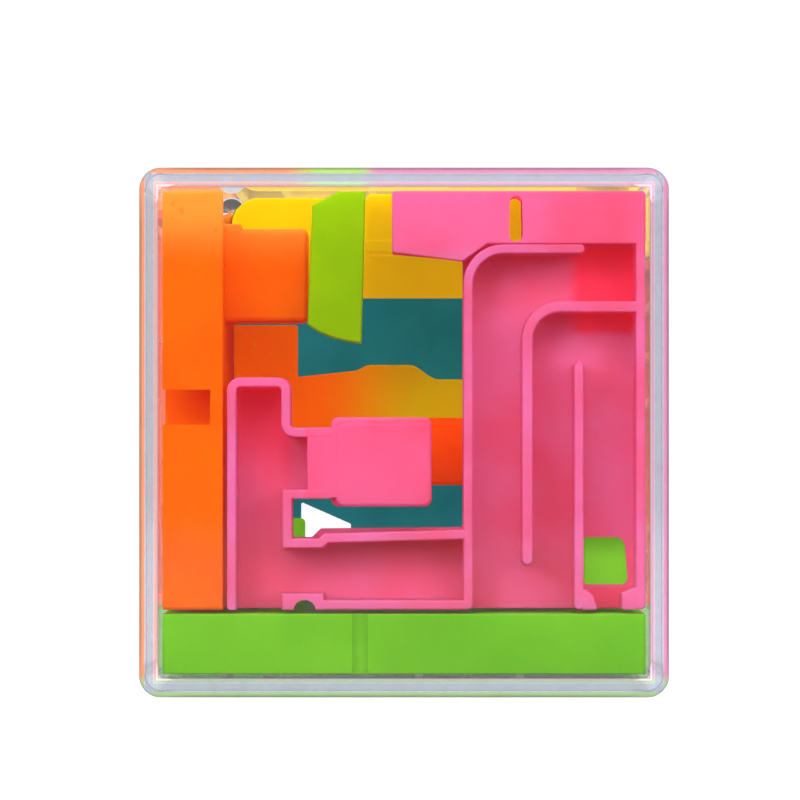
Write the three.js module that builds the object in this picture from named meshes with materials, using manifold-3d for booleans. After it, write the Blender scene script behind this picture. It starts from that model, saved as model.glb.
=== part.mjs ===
// A maze ball puzzle: six moulded maze plates, a funnel and a chute stand in a clear cube-shaped case,
// and a steel ball rolls through them. Millimetres, +Z up, the origin at the centre of the underside.
import * as THREE from 'three';
import { mergeVertices } from 'three/addons/utils/BufferGeometryUtils.js';
import { RoundedBoxGeometry } from 'three/addons/geometries/RoundedBoxGeometry.js';
import Module from 'manifold-3d';

const wasm = await Module();
wasm.setup();

// Driving dimensions.
const CUBE = 42;
const CASE_WALL = 1.5;
const CASE_ROUND = 1.1;
const LID = 1.1;
const GAP = 0.3;
const PLATE = 4.8;
const FLOOR = 1.0;
const WALL = 0.8;
const BALL = 2.5;
const GATE = 2.8;

// Worked out from them: distances from the middle of the cube.
const MIDDLE = CUBE / 2;
const CASE_IN = MIDDLE - CASE_WALL;
const OUT = CASE_IN - GAP;
const IN = OUT - PLATE;
const NEXT = IN - GAP;

// Where a wall ends inside a rim: the rim of a full side, and the rim of a side that meets a neighbour.
const EDGE = OUT - WALL * 0.75;
const SIDE = NEXT - WALL * 0.75;

// The top plate's screen, a tall wall across it, and the ball's shelf behind it, from the middle.
const SCREEN = -7.4;
const SHELF = 16.8;
const SHELF_BACK = -3.6;
const BALL_X = -14.2;
const BALL_Y = SCREEN + WALL + BALL / 2 + 0.15;
const BALL_CLEAR = 0.04;

const CORNER_STEPS = 4;

// ---------------------------------------------------------------- solids

// A closed geometry as a solid that can be cut and joined.
function solid(geometry) {
  const bare = geometry.clone();
  bare.deleteAttribute('normal');
  bare.deleteAttribute('uv');
  const merged = mergeVertices(bare, 1e-4);
  const vertProperties = Float32Array.from(merged.attributes.position.array);
  const triVerts = Uint32Array.from(merged.index.array);
  return new wasm.Manifold(new wasm.Mesh({ numProp: 3, vertProperties, triVerts }));
}

// A solid back as a geometry.
function geometryOf(body) {
  const mesh = body.getMesh();
  const geometry = new THREE.BufferGeometry();
  geometry.setAttribute('position', new THREE.BufferAttribute(Float32Array.from(mesh.vertProperties), 3));
  geometry.setIndex(Array.from(mesh.triVerts));
  geometry.computeVertexNormals();
  return geometry;
}

// A box from its two opposite corners.
function block([x0, y0, z0], [x1, y1, z1]) {
  const box = new THREE.BoxGeometry(x1 - x0, y1 - y0, z1 - z0);
  box.translate((x0 + x1) / 2, (y0 + y1) / 2, (z0 + z1) / 2);
  return solid(box);
}

// A flat outline, given as points or a Shape, raised from w0 to w1.
function raise(outline, w0, w1) {
  const shape = outline instanceof THREE.Shape ? outline : new THREE.Shape(outline);
  const body = new THREE.ExtrudeGeometry(shape, { depth: w1 - w0, bevelEnabled: false });
  body.translate(0, 0, w0);
  return solid(body);
}

const joined = (bodies) => bodies.reduce((sum, body) => sum.add(body));
const points = (pairs) => pairs.map(([u, v]) => new THREE.Vector2(u, v));

// A line of points with each inner corner rounded to the radius.
function rounded(line, radius) {
  const path = [line[0]];
  for (let i = 1; i < line.length - 1; i += 1) {
    const back = line[i - 1].clone().sub(line[i]).setLength(radius).add(line[i]);
    const on = line[i + 1].clone().sub(line[i]).setLength(radius).add(line[i]);
    path.push(...new THREE.QuadraticBezierCurve(back, line[i], on).getPoints(CORNER_STEPS));
  }
  path.push(line[line.length - 1]);
  return path;
}

// Half a circle of points about an end, from one side of the line to the other.
function cap(centre, side) {
  const ring = [];
  for (let step = 1; step < CORNER_STEPS; step += 1) {
    const turned = side.clone().rotateAround(new THREE.Vector2(), -Math.PI * step / CORNER_STEPS);
    ring.push(centre.clone().add(turned));
  }
  return ring;
}

// The outline of a line drawn with a round pen of the given width.
function stroke(path, width = WALL) {
  const normals = path.slice(1).map((point, i) => {
    const along = point.clone().sub(path[i]).normalize();
    return new THREE.Vector2(-along.y, along.x);
  });
  const sides = path.map((point, i) => {
    const before = normals[Math.max(i - 1, 0)];
    const after = normals[Math.min(i, normals.length - 1)];
    return before.clone().add(after).multiplyScalar(width / 2 / (1 + before.dot(after)));
  });
  const last = path.length - 1;
  const left = path.map((point, i) => point.clone().add(sides[i]));
  const right = path.map((point, i) => point.clone().sub(sides[i])).reverse();
  return [
    ...left,
    ...cap(path[last], sides[last]),
    ...right,
    ...cap(path[0], sides[0].clone().negate()),
  ];
}

// ---------------------------------------------------------------- plate features
// On a plate, u and v lie in its floor and w points out to the case. The floor starts at w = 0.

// A maze wall along a line, its corners rounded.
function wall(pairs, radius = 0, width = WALL) {
  const line = points(pairs);
  return raise(stroke(radius ? rounded(line, radius) : line, width), 0, PLATE);
}

// The rim that goes round a rectangle.
function rim(u0, u1, v0, v1) {
  const outer = block([u0, v0, 0], [u1, v1, PLATE]);
  return outer.subtract(block([u0 + WALL, v0 + WALL, -1], [u1 - WALL, v1 - WALL, PLATE + 1]));
}

// A square chute that goes in from the floor, with the hole that opens it on the outside.
function chute(u0, u1, v0, v1, depth, side = WALL) {
  const body = block([u0, v0, -depth], [u1, v1, FLOOR]);
  const hole = block([u0 + side, v0 + side, -depth + side], [u1 - side, v1 - side, FLOOR + 1]);
  return { body, hole };
}

// A gate in a rim, centred on a point, as wide as the ball needs.
function gate(u, v) {
  return block([u - GATE / 2, v - GATE / 2, FLOOR], [u + GATE / 2, v + GATE / 2, PLATE + 1]);
}

// A plate: everything in `parts` joined, then everything in `cuts` taken away.
function plate(parts, cuts) {
  return cuts.reduce((rest, cut) => rest.subtract(cut), joined(parts));
}

// ---------------------------------------------------------------- the six plates

function frontPlate() {
  const box = { u0: -5.8, u1: 2.2, v0: -5.9, v1: 1.2 };
  const floor = raise(points([
    [-0.95, OUT], [OUT, OUT], [OUT, -NEXT], [-NEXT, -NEXT], [-NEXT, 4.4], [-9.0, 4.4], [-9.0, 0.4],
    [box.u0, 0.4], [box.u0, -5.3], [-8.9, -5.3], [-8.9, -8.4], [-7.4, -8.4], [-6.7, -7.6], [4.65, -7.4],
    [4.65, 13.8], [-0.95, 14.3],
  ]), 0, FLOOR);
  const roof = raise(points([
    [-0.95, OUT], [OUT, OUT], [OUT, 14.9], [6.0, 14.9], [4.65, 13.8], [-0.95, 14.3],
  ]), PLATE - FLOOR, PLATE);
  const tunnel = block([-7.7, -5.2, 0], [box.u0 + WALL, 0.4, PLATE]);
  const cup = block([box.u0, box.v0, -1.2], [box.u1, box.v1, PLATE]);
  const tunnelHole = block([-7.8, -4.4, FLOOR], [box.u0 + 2, -0.4, PLATE - FLOOR]);
  const cupHole = block([box.u0 + WALL, box.v0 + WALL, -2], [box.u1 - WALL, box.v1 - WALL, PLATE - FLOOR]);
  const parts = [
    floor, roof, tunnel, cup,
    wall([[-13.7, -13.7], [-13.7, 4.0], [-9.4, 4.0], [-9.4, 0.0], [-7.0, 0.0]], 0.4),
    wall([[-7.0, -4.9], [-9.3, -4.9], [-9.3, -8.8], [-6.6, -8.8], [-6.2, -8.4], [4.9, -8.1]]),
    wall([[-7.9, -13.3], [-6.6, -13.7], [5.1, -13.7]]),
    raise(points([[-9.7, -NEXT], [-6.4, -NEXT], [-6.4, -12.8], [-9.7, -12.8]]), 0, PLATE),
    wall([[14.0, 14.6], [5.1, 14.6], [5.1, -13.7]], 2.8),
    wall([[18.8, 10.0], [9.8, 10.0], [9.8, -10.1]], 2.8, 0.9),
    wall([[13.9, 5.2], [13.9, -13.7]]),
    wall([[18.8, 18.8], [18.8, -13.7]]),
    wall([[-0.55, 18.8], [18.8, 18.8]]),
    wall([[-0.55, 18.8], [-0.55, 14.7]]),
    block([14.5, -NEXT, 0], [15.2, -12.5, PLATE]),
    block([17.4, -NEXT, 0], [18.8, -12.5, PLATE]),
  ];
  const cuts = [
    cupHole, tunnelHole,
    raise(stroke(points([[8.9, 18.3], [8.9, 15.6]]), 1.0), -1, PLATE + 1),
    block([14.45, -12.2, -1], [17.8, -8.4, FLOOR + 1]),
    block([-8.8, -NEXT - 1, -1], [-7.0, -13.5, PLATE + 1]),
  ];
  return plate(parts, cuts);
}

function leftPlate() {
  const inner = { u0: 7.8, u1: IN - 0.2 };
  const cup = chute(inner.u0, inner.u1, 8.9, 16.4, 6.6, 1.2);
  const parts = [
    raise(points([[-NEXT, -NEXT], [OUT, -NEXT], [OUT, OUT], [-NEXT, OUT]]), 0, FLOOR),
    rim(-NEXT, OUT, -NEXT, SHELF),
    rim(-NEXT, OUT, -NEXT, OUT),
    block([inner.u0, SHELF - WALL, -1.2], [inner.u1, SHELF, PLATE]),
    cup.body,
    wall([[-10.0, -SIDE], [-10.0, 9.6]]),
    wall([[-SIDE, 13.4], [-6.2, 13.4], [-6.2, -9.6]], 2.4),
    wall([[-2.4, 16.4], [-2.4, -6.0], [6.0, -6.0]], 2.4),
    wall([[-6.2, -9.6], [9.8, -9.6], [9.8, 2.4]], 2.4),
    wall([[1.6, 16.4], [1.6, -2.2], [6.0, -2.2]], 2.4),
    wall([[5.8, 7.6], [14.4, 7.6], [14.4, -9.9]], 2.4),
    wall([[6.2, 7.6], [6.2, 16.4]]),
  ];
  const cuts = [
    cup.hole,
    block([-SHELF_BACK, SHELF, -2], [OUT - WALL, OUT + 1, PLATE + 1]),
    gate(OUT, 2.0),
    gate(-NEXT, -8.0),
    gate(3.6, -NEXT),
  ];
  return plate(parts, cuts);
}

function rightPlate() {
  const cup = chute(-8.8, -3.4, -4.3, 1.2, 12.9, 0.9);
  const parts = [
    raise(points([[-9.5, -NEXT], [NEXT, -NEXT], [NEXT, NEXT], [-NEXT, NEXT], [-NEXT, -8.1], [-9.5, -8.1]]),
      0, FLOOR),
    rim(-NEXT, NEXT, -NEXT, NEXT),
    cup.body,
    wall([[-9.1, -SIDE], [-9.1, -7.7], [-SIDE, -7.7]]),
    wall([[-SIDE, 10.2], [6.0, 10.2], [6.0, 2.0]], 2.4),
    wall([[10.0, SIDE], [10.0, -1.8], [2.0, -1.8]], 2.4),
    wall([[-9.6, 6.2], [2.0, 6.2], [2.0, -5.6], [9.8, -5.6]], 2.4),
    wall([[-9.8, 2.4], [-2.2, 2.4], [-2.2, -9.6], [SIDE, -9.6]], 2.0),
  ];
  const cuts = [
    cup.hole,
    block([-NEXT - 1, -NEXT - 1, -1], [-9.5, -8.1, PLATE + 1]),
    gate(NEXT, -5.6),
    gate(-4.0, NEXT),
  ];
  return plate(parts, cuts);
}

function backPlate() {
  const parts = [
    raise(points([[-OUT, -NEXT], [OUT, -NEXT], [OUT, OUT], [-OUT, OUT]]), 0, FLOOR),
    rim(-OUT, OUT, -NEXT, OUT),
    wall([[-15.0, -SIDE], [-15.0, 14.8]]),
    wall([[-11.0, EDGE], [-11.0, -9.8], [-2.8, -9.8]], 2.6),
    wall([[-7.0, 14.6], [-7.0, -5.6], [2.6, -5.6]], 2.6),
    wall([[-3.0, EDGE], [-3.0, 2.4], [6.8, 2.4]], 2.6),
    wall([[1.2, 14.8], [15.0, 14.8], [15.0, -9.8]], 2.6),
    wall([[1.2, 10.8], [1.2, 6.6], [10.8, 6.6], [10.8, -4.6]], 2.2),
    wall([[1.2, -SIDE], [1.2, -9.6], [3.6, -9.6]]),
  ];
  const cuts = [
    raise(points([[8.9, -6.0], [4.6, -7.9], [4.6, -9.4], [8.9, -9.4]]), -1, PLATE + 1),
    gate(9.0, OUT),
    gate(-OUT, -6.0),
  ];
  return plate(parts, cuts);
}

function topPlate() {
  const front = { u: -2.9, v: SCREEN };
  const apron = -3.4;
  const cornerRound = 2.2;
  const screen = new THREE.Shape();
  screen.moveTo(-NEXT, apron);
  screen.lineTo(NEXT, apron);
  screen.lineTo(NEXT, PLATE);
  screen.lineTo(-NEXT + cornerRound, PLATE);
  screen.absarc(-NEXT + cornerRound, PLATE - cornerRound, cornerRound, Math.PI / 2, Math.PI, false);
  const apronWall = raise(screen, 0, WALL).rotate([90, 0, 0]).translate([0, front.v + WALL, 0]);
  const parts = [
    raise(points([[-NEXT, front.v], [front.u, front.v], [front.u, -NEXT], [OUT, -NEXT], [OUT, NEXT],
      [-NEXT, NEXT]]), 0, FLOOR),
    wall([[front.u + 0.4, front.v], [front.u + 0.4, -SIDE], [EDGE, -SIDE], [EDGE, SIDE], [-SIDE, SIDE],
      [-SIDE, SHELF_BACK + WALL / 4]]),
    block([-NEXT, front.v + WALL / 2, 0], [-8.6, SHELF_BACK, SHELF - IN]),
    apronWall,
    wall([[front.u + 0.4, -10.4], [3.4, -10.4]]),
    wall([[1.4, front.v + 0.4], [1.4, 9.6], [-9.8, 9.6]], 2.4),
    wall([[-9.8, 5.6], [-2.6, 5.6], [-2.6, -3.0]], 2.4),
    wall([[-9.8, SHELF_BACK + WALL / 4], [-9.8, 1.6], [-6.4, 1.6]], 1.6),
    wall([[5.4, SIDE], [5.4, -3.2], [14.8, -3.2]], 2.4),
    wall([[9.4, 1.0], [14.8, 1.0], [14.8, 9.8]], 2.4),
    wall([[9.6, SIDE], [9.6, 5.2]]),
  ];
  const cuts = [
    gate(12.0, -NEXT),
    gate(-6.0, NEXT),
    raise(stroke(points([[7.4, -10.4], [11.4, -10.4]]), 2.8), -1, FLOOR + 1),
  ];
  return plate(parts, cuts);
}

function bottomPlate() {
  const step = chute(14.4, 18.4, 9.9, NEXT, 6.0);
  const parts = [
    raise(points([[-OUT, -OUT], [OUT, -OUT], [OUT, OUT], [-OUT, OUT]]), 0, FLOOR),
    rim(-OUT, OUT, -OUT, OUT),
    step.body,
    block([-11.6, -4.0, -7.2], [-8.3, 0.0, FLOOR]),
    wall([[-15.0, EDGE], [-15.0, -10.6]]),
    wall([[-11.2, -EDGE], [-11.2, 10.6], [-2.6, 10.6]], 2.6),
    wall([[-7.0, 6.6], [-7.0, -14.8], [2.8, -14.8]], 2.6),
    wall([[-11.2, 14.6], [9.4, 14.6], [9.4, 6.6]], 2.6),
    wall([[-3.0, 6.6], [-3.0, -10.8], [10.8, -10.8]], 2.6),
    wall([[1.2, 10.6], [1.2, -6.6], [10.8, -6.6]], 2.6),
    wall([[5.2, 6.8], [5.2, -2.6], [EDGE, -2.6]], 2.4),
    wall([[15.0, -EDGE], [15.0, -6.6]]),
  ];
  const cuts = [
    step.hole,
    raise(points([[-3.8, OUT + 1], [-3.2, OUT + 1], [-3.5, OUT - 0.4]]), -1, PLATE + 1),
    gate(-OUT, 4.0),
  ];
  return plate(parts, cuts);
}

// ---------------------------------------------------------------- the pieces inside

// A scoop with a closed front and a curved foot, open at the back.
function funnel() {
  const depth = 3.9;
  const side = 0.9;
  const outline = (inset) => {
    const shape = new THREE.Shape();
    shape.moveTo(-7.3 + inset, 18.1 - inset / 2);
    shape.lineTo(-5.1 + inset / 2, OUT - inset);
    shape.lineTo(-3.1 - inset, OUT - inset);
    shape.lineTo(-3.4 - inset, 7.1 + inset * 1.4);
    shape.quadraticCurveTo(-6.2, 7.4 + inset, -7.7 + inset, 8.6 + inset);
    shape.closePath();
    return shape;
  };
  return raise(outline(0), 0, depth).subtract(raise(outline(side), -1, depth - side));
}

// A trough across the middle of the cube, taller at its left end, with a hump.
function crossingChute() {
  const width = 5.0;
  const profile = new THREE.Shape();
  profile.moveTo(-NEXT, -1.2);
  profile.lineTo(NEXT, -1.2);
  profile.lineTo(NEXT, 4.4);
  profile.lineTo(2.9, 4.4);
  profile.quadraticCurveTo(1.6, 5.6, 0.4, 5.6);
  profile.lineTo(-2.8, 5.6);
  profile.quadraticCurveTo(-3.6, 5.6, -4.0, 5.1);
  profile.lineTo(-8.9, 4.6);
  profile.lineTo(-8.9, 8.9);
  profile.lineTo(-NEXT, 8.9);
  const body = raise(profile, 0, width);
  return body.subtract(block([-NEXT + WALL, -0.2, WALL], [NEXT - WALL, 10, width - WALL]));
}

// ---------------------------------------------------------------- the case

function caseShell() {
  const cube = new RoundedBoxGeometry(CUBE, CUBE, CUBE, 2, CASE_ROUND);
  return solid(cube);
}

function caseBase() {
  const front = -MIDDLE + LID + GAP;
  const keep = block([-CUBE, front, -CUBE], [CUBE, CUBE, CUBE]);
  const hollow = block([-CASE_IN, -CUBE, -CASE_IN], [CASE_IN, CASE_IN, CASE_IN]);
  return caseShell().intersect(keep).subtract(hollow);
}

function caseLid() {
  return caseShell().intersect(block([-CUBE, -CUBE, -CUBE], [CUBE, -MIDDLE + LID, CUBE]));
}

// ---------------------------------------------------------------- assembly

const plastic = (color, roughness = 0.35) => new THREE.MeshStandardMaterial({ color, roughness });
const clear = () => new THREE.MeshStandardMaterial({ color: '#eef2f6', roughness: 0.05 });
const steel = () => new THREE.MeshStandardMaterial({ color: '#c9ccd1', roughness: 0.15, metalness: 1 });

const puzzle = new THREE.Group();
puzzle.position.set(0, 0, MIDDLE);

function add(name, body, material, parent = puzzle) {
  const geometry = body instanceof THREE.BufferGeometry ? body : geometryOf(body);
  const mesh = new THREE.Mesh(geometry, material);
  mesh.name = name;
  parent.add(mesh);
  return mesh;
}

// A group whose u, v and w run along the given directions, standing at the plates' inner face.
function face(u, v, w) {
  const group = new THREE.Group();
  const [right, up, out] = [u, v, w].map((axis) => new THREE.Vector3(...axis));
  group.quaternion.setFromRotationMatrix(new THREE.Matrix4().makeBasis(right, up, out));
  group.position.copy(out).multiplyScalar(IN);
  puzzle.add(group);
  return group;
}

add('case_base', caseBase(), clear());
add('case_lid', caseLid(), clear());
add('front_plate', frontPlate(), plastic('#f5528f'), face([1, 0, 0], [0, 0, 1], [0, -1, 0]));
add('left_plate', leftPlate(), plastic('#ff7a1c'), face([0, -1, 0], [0, 0, 1], [-1, 0, 0]));
add('right_plate', rightPlate(), plastic('#f04a1e'), face([0, 1, 0], [0, 0, 1], [1, 0, 0]));
add('back_plate', backPlate(), plastic('#1f7a8c'), face([-1, 0, 0], [0, 0, 1], [0, 1, 0]));
add('top_plate', topPlate(), plastic('#f2c300'), face([1, 0, 0], [0, 1, 0], [0, 0, 1]));
add('bottom_plate', bottomPlate(), plastic('#8cc832'), face([1, 0, 0], [0, -1, 0], [0, 0, -1]));

const scoop = add('funnel', funnel(), plastic('#9ed62e'));
scoop.rotation.x = Math.PI / 2;
scoop.position.y = -IN - GAP;

const trough = add('crossing_chute', crossingChute(), plastic('#e8a800'));
trough.rotation.x = Math.PI / 2;
trough.position.y = 2.2;

const ball = add('steel_ball', new THREE.SphereGeometry(BALL / 2, 24, 16), steel());
ball.position.set(BALL_X, BALL_Y, SHELF + BALL / 2 + BALL_CLEAR);

export default puzzle;
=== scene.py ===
"""A maze ball puzzle: coloured maze plates, chutes and a steel ball in a clear cube case.

Lengths are millimetres while a piece is made, measured from the middle of the cube, and metres in the
finished meshes. On a plate, u and v lie in its floor and w points out to the case.
"""
import math

import bpy
import numpy as np
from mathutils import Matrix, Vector


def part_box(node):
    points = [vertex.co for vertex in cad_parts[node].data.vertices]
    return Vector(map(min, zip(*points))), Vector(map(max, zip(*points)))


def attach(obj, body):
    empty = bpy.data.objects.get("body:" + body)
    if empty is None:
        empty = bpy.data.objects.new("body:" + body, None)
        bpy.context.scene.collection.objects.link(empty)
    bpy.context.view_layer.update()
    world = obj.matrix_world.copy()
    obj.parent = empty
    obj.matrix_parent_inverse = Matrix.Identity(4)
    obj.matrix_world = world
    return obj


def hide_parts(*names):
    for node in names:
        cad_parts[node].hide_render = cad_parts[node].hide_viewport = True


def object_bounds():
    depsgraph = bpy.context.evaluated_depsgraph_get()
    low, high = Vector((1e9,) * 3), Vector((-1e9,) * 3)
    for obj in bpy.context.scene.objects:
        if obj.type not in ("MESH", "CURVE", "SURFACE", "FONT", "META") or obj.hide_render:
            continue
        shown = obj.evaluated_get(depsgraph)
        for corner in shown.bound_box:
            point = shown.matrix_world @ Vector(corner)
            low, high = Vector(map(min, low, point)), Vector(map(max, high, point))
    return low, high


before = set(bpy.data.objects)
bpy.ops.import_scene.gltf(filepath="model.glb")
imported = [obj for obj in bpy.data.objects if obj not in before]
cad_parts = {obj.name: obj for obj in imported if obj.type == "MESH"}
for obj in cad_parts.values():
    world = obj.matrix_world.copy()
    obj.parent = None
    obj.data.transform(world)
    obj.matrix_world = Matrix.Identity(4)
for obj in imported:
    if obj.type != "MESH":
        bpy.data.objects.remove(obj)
cad_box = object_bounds()

MM = 0.001
lowest, highest = (np.array(corner) / MM for corner in cad_box)
MIDDLE = (lowest + highest) / 2

# Distances from the middle of the cube, read from the frame.
CUBE = highest[0]
PLATE_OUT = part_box("bottom_plate")[1].x / MM
PLATE_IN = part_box("back_plate")[0].y / MM
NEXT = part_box("crossing_chute")[1].x / MM
LID_BACK = -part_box("case_lid")[1].y / MM

# The clear case.
CASE_WALL = 1.5
CASE_ROUND = 1.7
BACK_ROUND = 1.1
INNER_ROUND = 0.5
LID_ROUND = 0.7
LID_GAP = 0.06
JOINT_SOFT = 0.08

# The mouldings: a plate's whole thickness, its floor and walls, and how soft its edges are.
PLATE = PLATE_OUT - PLATE_IN
FLOOR = 1.0
WALL = 0.8
SOFT = 0.16
FOOT = 0.22
DRAFT = 0.03
ROOT = 0.2
GATE = 2.8

# The middle line of a rim wall, on a plate's long side and on a side next to another plate.
EDGE = PLATE_OUT - WALL * 0.5
SIDE = NEXT - WALL * 0.5

# The radius of a corridor's corners, and of the larger ones.
TURN = 2.4
WIDE_TURN = 2.6

# The top plate's front screen, and the ball's shelf: how high it is and how far back it reaches.
SCREEN = -7.4
SHELF = 16.8
SHELF_BACK = -3.6

# How far a cutting tool passes a face.
PAST = 1

# The points on an arc in an outline and on a soft edge, and the crease that stays crisp, in degrees.
TURN_STEPS = 9
SOFT_STEPS = 4
CRISP = 34

# The brightness of the surround where it lights the object, beside 1 where it is seen.
SURROUND = 0.18


# ---------------------------------------------------------------- outlines

def bend(line, radius):
    """A line of points with each inner corner made a true arc of the radius, or of its own radius.

    The arc starts and ends radius * tan(turn / 2) from the corner and is centred off it on the
    bisector, and its points are the two ends blended by the sines of their share of the turn.
    """
    line = np.array(line, float)
    path = [line[:1]]
    radii = np.broadcast_to(radius, len(line) - 2)
    for before, corner, after, size in zip(line[:-2], line[1:-1], line[2:], radii):
        back = (before - corner) / np.linalg.norm(before - corner)
        on = (after - corner) / np.linalg.norm(after - corner)
        turn = math.pi - math.acos(np.clip(back @ on, -1, 1))
        reach = size * math.tan(turn / 2)
        centre = corner + (back + on) * reach / (1 + back @ on)
        share = np.linspace(0, 1, TURN_STEPS)[:, None]
        start = corner + back * reach - centre
        end = corner + on * reach - centre
        arc = (np.sin((1 - share) * turn) * start + np.sin(share * turn) * end) / math.sin(turn)
        path.append(centre + arc)
    path.append(line[-1:])
    return np.concatenate(path)


def pen(path, width=WALL):
    """The outline of a line drawn with a round pen: its sides at half the width, and round ends."""
    path = np.array(path, float)
    along = np.diff(path, axis=0)
    along /= np.linalg.norm(along, axis=1)[:, None]
    normal = np.stack([-along[:, 1], along[:, 0]], axis=1)
    before = np.concatenate([normal[:1], normal])
    after = np.concatenate([normal, normal[-1:]])
    side = (before + after) * (width / 2 / (1 + (before * after).sum(1)))[:, None]
    turn = np.linspace(0, math.pi, TURN_STEPS + 2)[1:-1]

    def round_end(centre, out):
        across = np.array([out[1], -out[0]])
        return centre + np.cos(turn)[:, None] * out + np.sin(turn)[:, None] * across

    left = path + side
    right = (path - side)[::-1]
    ring = [left, round_end(path[-1], side[-1]), right, round_end(path[0], -side[0])]
    return np.concatenate(ring)[::-1]


def loop(corners, radius):
    """A closed outline with every corner made an arc of the radius, or of its own radius."""
    corners = np.array(corners, float)
    around = np.concatenate([corners[-1:], corners, corners[:1]])
    return bend(around, radius)[1:-1]


def box_loop(u0, u1, v0, v1, radius=0.35):
    """A rectangle with rounded corners."""
    return loop([(u0, v0), (u1, v0), (u1, v1), (u0, v1)], radius)


def anticlockwise(outline):
    """The outline with its area, half the sum of its cross products, made positive."""
    x, y = outline.T
    area = (x * np.roll(y, -1) - y * np.roll(x, -1)).sum()
    return outline if area > 0 else outline[::-1]


def inset(outline, distance):
    """Each point moved inwards along its mitre, so that every side moves by the distance."""
    along = np.roll(outline, -1, axis=0) - outline
    along /= np.maximum(np.linalg.norm(along, axis=1), 1e-9)[:, None]
    inward = np.stack([-along[:, 1], along[:, 0]], axis=1)
    before = np.roll(inward, 1, axis=0)
    spread = np.maximum(1 + (inward * before).sum(1), 0.5)
    return outline + (before + inward) * (distance / spread)[:, None]


# ---------------------------------------------------------------- closed shells

def shell(rings):
    """A closed shell through rings of points: quads between rings, and a face over each end."""
    count, around = rings.shape[:2]
    index = np.arange(count * around).reshape(count, around)
    low, high = index[:-1], index[1:]
    quads = np.stack([low, np.roll(low, -1, 1), np.roll(high, -1, 1), high], axis=-1).reshape(-1, 4)
    faces = quads.tolist() + [index[0][::-1].tolist(), index[-1].tolist()]
    mesh = bpy.data.meshes.new("shell")
    mesh.from_pydata(rings.reshape(-1, 3).tolist(), [], faces)
    mesh.update()
    return mesh


def carried(outline, profile):
    """A closed shell whose outline is carried up a profile of (height, distance inwards) pairs."""
    outline = anticlockwise(np.asarray(outline, float))
    rings = []
    for height, distance in profile:
        ring = inset(outline, distance)
        rings.append(np.column_stack([ring, np.full(len(ring), height)]))
    return shell(np.array(rings))


def quarter(sign=1):
    """The sine and cosine of a quarter turn, run forwards or backwards."""
    turn = np.linspace(0, math.pi / 2, SOFT_STEPS)[::sign]
    return list(zip(np.sin(turn), np.cos(turn)))


def moulded(outline, low, high, soft_low=0.0, soft_high=SOFT, foot=0.0, draft=0.0):
    """An outline raised from low to high as a moulding.

    Its profile runs up the side with a quarter circle at each soft edge, leans in by the draft, and
    flares out in a hollow quarter circle where it stands on the floor.
    """
    profile = [(low, -foot)]
    if soft_low:
        profile = [
            (low + soft_low * (1 - rise), soft_low * (1 - across))
            for rise, across in quarter(-1)
        ]
    if foot:
        profile += [
            (FLOOR + foot * (1 - across), -foot * (1 - rise))
            for rise, across in quarter()
        ]
    if soft_high:
        profile += [
            (high - soft_high * (1 - rise), draft + soft_high * (1 - across))
            for rise, across in quarter()
        ]
    else:
        profile.append((high, draft))
    return carried(outline, profile)


def hollow(outline):
    """A tool that cuts a tray: filleted where it meets the floor, and rounded over at the brim."""
    profile = [(FLOOR + FOOT * (1 - rise), FOOT * (1 - across)) for rise, across in quarter(-1)]
    profile += [(PLATE - SOFT * (1 - rise), -SOFT * (1 - across)) for rise, across in quarter()]
    profile.append((PLATE + PAST, -SOFT))
    return carried(outline, profile)


def slab(outline, low, high, soft=SOFT):
    """A plain thick sheet with soft edges on both faces."""
    return moulded(outline, low, high, soft_low=soft, soft_high=soft)


def wall(line, radius=0.0, width=WALL):
    """A maze wall along a line, rounded at its corners and ends and flared where it meets the floor."""
    path = bend(line, radius) if radius else np.array(line, float)
    return moulded(pen(path, width), ROOT, PLATE, foot=FOOT, draft=DRAFT)


def tool(outline, low=-PAST, high=PLATE + PAST):
    """A straight-sided tool that cuts the outline, by default right through a plate."""
    return moulded(outline, low, high, soft_high=0)


def shrunk(u0, u1, v0, v1, step):
    """A rectangle with each side moved inwards by the step."""
    return u0 + step, u1 - step, v0 + step, v1 - step


def gate(u, v, width=GATE):
    """A tool that opens a rim as wide as the ball needs, down to the floor."""
    return tool(box_loop(*shrunk(u, u, v, v, -width / 2)), FLOOR)


def tray(u0, u1, v0, v1, walls):
    """A plate with a rim round its edge and maze walls inside it, its sides flush."""
    rim_round, trim, trim_round, rim_soft = 0.3, 0.3, 0.2, 0.12
    block = slab(box_loop(u0, u1, v0, v1, rim_round), 0, PLATE, rim_soft)
    well = hollow(box_loop(*shrunk(u0, u1, v0, v1, WALL)))
    sides = tool(box_loop(*shrunk(u0, u1, v0, v1, trim), trim_round))
    return fuse([fuse([block], [well]), fuse(walls, (), [sides])])


def ring_grid(radius, centre, turns=96, rises=48):
    """A ball: points at equal steps of longitude and latitude, closed by a face at each pole."""
    turn = np.linspace(0, 2 * math.pi, turns, endpoint=False)
    rise = np.linspace(-math.pi / 2, math.pi / 2, rises)[1:-1]
    flat = np.cos(rise)[:, None]
    rings = np.stack([
        flat * np.cos(turn),
        flat * np.sin(turn),
        np.broadcast_to(np.sin(rise)[:, None], (len(rise), turns)),
    ], axis=-1)
    return shell(rings * radius + np.array(centre))


# ---------------------------------------------------------------- joining and placing

def thing(mesh, name="tool"):
    """A mesh put in the scene as an object."""
    item = bpy.data.objects.new(name, mesh)
    bpy.context.scene.collection.objects.link(item)
    return item


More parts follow.
